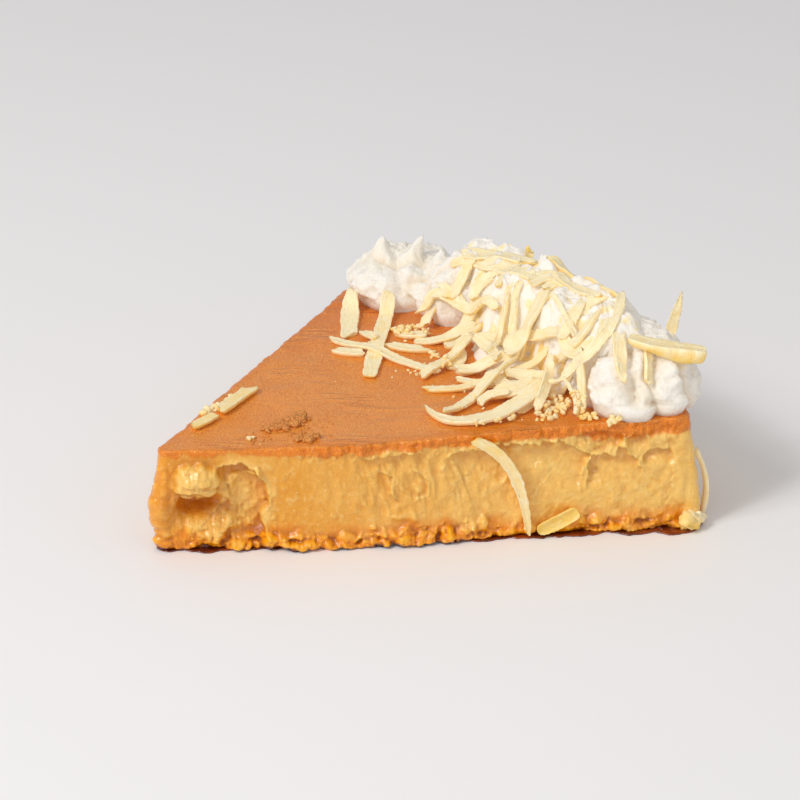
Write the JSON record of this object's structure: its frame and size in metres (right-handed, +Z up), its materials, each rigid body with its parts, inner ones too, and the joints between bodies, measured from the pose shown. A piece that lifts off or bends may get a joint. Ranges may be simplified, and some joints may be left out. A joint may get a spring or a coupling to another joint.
{
  "type": "cheese flan slice",
  "caption": "Wedge of baked custard flan with a glossy caramel top, a fluted ridge of whipped cream along the rim and coarsely grated cheese heaped over it.",
  "frame": {"origin": "on the flat base, half way between the sharp tip of the wedge and its round rim", "axes": "+X runs along the middle of the wedge from the tip to the rim, +Z is up; the cut face with the long hanging shred faces -Y"},
  "size_m": [0.1236, 0.124, 0.0512],
  "materials": {
    "baked_custard": "moist satin, warm yellow",
    "caramel_skin": "satin amber skin with a glossy edge",
    "whipped_cream": "soft matt off-white",
    "grated_cheese": "slightly translucent pale yellow"
  },
  "bodies": {
    "root": {"custard": "baked_custard", "caramel_top": "caramel_skin", "whipped_cream": "whipped_cream", "grated_cheese": "grated_cheese", "shred_tip_large": "grated_cheese", "shred_tip_small": "grated_cheese", "shred_cream_thick": "grated_cheese", "shred_standing": "grated_cheese", "shred_front_long": "grated_cheese", "shred_front_short": "grated_cheese", "shred_rim_curl": "grated_cheese"}
  },
  "joints": []
}
